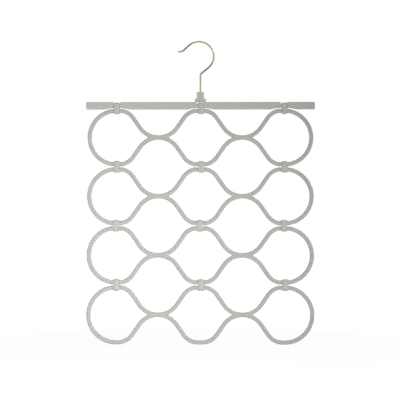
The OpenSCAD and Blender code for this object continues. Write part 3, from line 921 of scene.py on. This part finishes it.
floor_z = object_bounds()[0].z
floor_mesh = bpy.data.meshes.new("floor")
floor_side, floor_near, floor_far = 1.5, -0.6, 3
sheet = [(-floor_side, floor_near, floor_z), (floor_side, floor_near, floor_z),
         (floor_side, floor_far, floor_z), (-floor_side, floor_far, floor_z)]
floor_mesh.from_pydata(sheet, [], [(0, 1, 2, 3)])
floor = bpy.data.objects.new("floor", floor_mesh)
bpy.context.scene.collection.objects.link(floor)
paper = bpy.data.materials.new("White studio paper")
paper.use_nodes = True
tree = paper.node_tree
tree.nodes.remove(tree.nodes["Principled BSDF"])
lit = add(tree, "ShaderNodeBsdfDiffuse", {"Color": (0.7, 0.7, 0.7, 1)}).outputs[0]
white = add(tree, "ShaderNodeEmission", {"Color": (1, 1, 1, 1), "Strength": 1.12}).outputs[0]
spot = add(tree, "ShaderNodeTexCoord").outputs["Object"]
away = add(tree, "ShaderNodeVectorMath", {0: spot, 1: (0, 0, floor_z)}, operation="DISTANCE")
# Within 0.3 m of the point under the hanger the floor shows twice as much of its lit surface. This greys
# it there whatever the light: painted shade, with the real shadow in it.
near = add(tree, "ShaderNodeMapRange", {
    "Value": away.outputs["Value"], "From Min": 0.3, "From Max": 0.6, "To Min": 0.2, "To Max": 0.1})
to_eye = add(tree, "ShaderNodeMixShader", {0: near.outputs[0], 1: white, 2: lit}).outputs[0]
mixed = add(tree, "ShaderNodeMixShader", {0: seen_by_eye(tree), 1: lit, 2: to_eye}).outputs[0]
tree.links.new(mixed, tree.nodes["Material Output"].inputs["Surface"])
floor_mesh.materials.append(paper)

world = bpy.data.worlds.new("White studio")
bpy.context.scene.world = world
world.use_nodes = True
tree = world.node_tree
path = add(tree, "ShaderNodeLightPath").outputs
direction = add(tree, "ShaderNodeTexCoord").outputs["Generated"]
heading = add(tree, "ShaderNodeSeparateXYZ", {0: direction}).outputs
rise = add(tree, "ShaderNodeMath", {0: heading["Z"], 1: 0.2}, operation="SUBTRACT").outputs[0]
across = add(tree, "ShaderNodeMath", {
    0: heading["X"], 1: heading["X"]}, operation="MULTIPLY").outputs[0]
upward = add(tree, "ShaderNodeMath", {0: rise, 1: rise}, operation="MULTIPLY").outputs[0]
square = add(tree, "ShaderNodeMath", {0: across, 1: upward}, operation="SUBTRACT").outputs[0]
panels = add(tree, "ShaderNodeMath", {0: square}, operation="ABSOLUTE").outputs[0]
slant = add(tree, "ShaderNodeMath", {0: heading["X"], 1: rise}, operation="MULTIPLY").outputs[0]
lights = add(tree, "ShaderNodeMath", {
    0: slant, 1: 0.5, 2: panels}, operation="MULTIPLY_ADD").outputs[0]
front = add(tree, "ShaderNodeMapRange", {
    "Value": lights, "From Min": 0.0, "From Max": 0.3, "To Min": 0.04, "To Max": 1.0})
behind = add(tree, "ShaderNodeMapRange", {
    "Value": heading["Y"], "From Min": -0.1, "From Max": 0.6}, interpolation_type="SMOOTHSTEP")
room = add(tree, "ShaderNodeMix", {0: behind.outputs[0], 2: front.outputs[0], 3: 1.0}).outputs[0]
glow = add(tree, "ShaderNodeMix", {0: path["Is Camera Ray"], 2: room, 3: 1.0}).outputs[0]
cast = add(tree, "ShaderNodeMapRange", {
    "Value": heading["Z"], "From Min": -1.0, "From Max": 1.0, "To Min": 0.26, "To Max": 0.5})
soft = add(tree, "ShaderNodeMix", {0: seen_by_eye(tree), 2: cast.outputs[0], 3: glow}).outputs[0]
sky = tree.nodes["Background"]
sky.inputs["Color"].default_value = (1, 1, 1, 1)
tree.links.new(soft, sky.inputs["Strength"])
print("floor at", round(floor_z, 5), "m")

# %% [markdown]
# The key lamp stands in front on the right and is aimed at the left end of the hanger. A grid
# over it, here a narrow spread, keeps its light together, so the faces are brighter on the left
# while the edges that look left stay dark. A weak lamp low on the left and a wide low one in
# front fill in, and a lamp high behind on the right draws a bright line on the edges that face
# it. Only that last lamp shows in reflections.

# %% Lamps
def lamp(name, place, aim, size, power, mirrored=True, spread=180):
    """An area lamp of a width and height in metres, a power in watts and a spread in degrees."""
    light = bpy.data.lights.new(name, "AREA")
    light.shape = "RECTANGLE"
    light.size, light.size_y = size
    light.energy = power
    light.spread = math.radians(spread)
    holder = bpy.data.objects.new(name, light)
    holder.location = place
    holder.rotation_euler = (Vector(aim) - Vector(place)).to_track_quat("-Z", "Y").to_euler()
    holder.visible_camera = False
    holder.visible_glossy = mirrored
    bpy.context.scene.collection.objects.link(holder)
    return holder


centre = (0, 0, -0.24)
lamps = [
    lamp("key", (0.2, -0.85, -0.37), (-0.32, 0, -0.36), (0.3, 0.2), 1.3, mirrored=False, spread=80),
    lamp("side", (-0.6, -0.42, -0.43), (-0.16, 0, -0.33), (0.2, 0.1), 0.3, mirrored=False),
    lamp("fill", (0.35, -0.8, -0.42), centre, (0.5, 0.1), 0.8, mirrored=False),
    lamp("back", (1.25, 0.95, 1.05), centre, (0.8, 0.8), 6)]
for holder in lamps:
    away = (holder.location - Vector(centre)).length
    print(holder.name, "lamp,", holder.data.energy, "W,", round(away, 2), "m away")

# %% [markdown]
# The camera stands a metre and a half away, a little below the middle of the hanger, and looks
# up slightly, with a short telephoto lens.

# %% Camera
lens = bpy.data.cameras.new("camera")
lens.lens = 85.5
lens.sensor_width = 36
camera = bpy.data.objects.new("camera", lens)
camera.location = (mm(16.8), mm(-1506), mm(-337.3))
camera.rotation_euler = (math.pi / 2 + 0.0564, -0.001, 0.0114)
bpy.context.scene.collection.objects.link(camera)
bpy.context.scene.camera = camera
bpy.context.scene.view_settings.view_transform = "Standard"
print("the camera looks up by", round(math.degrees(camera.rotation_euler.x) - 90, 1), "degrees")
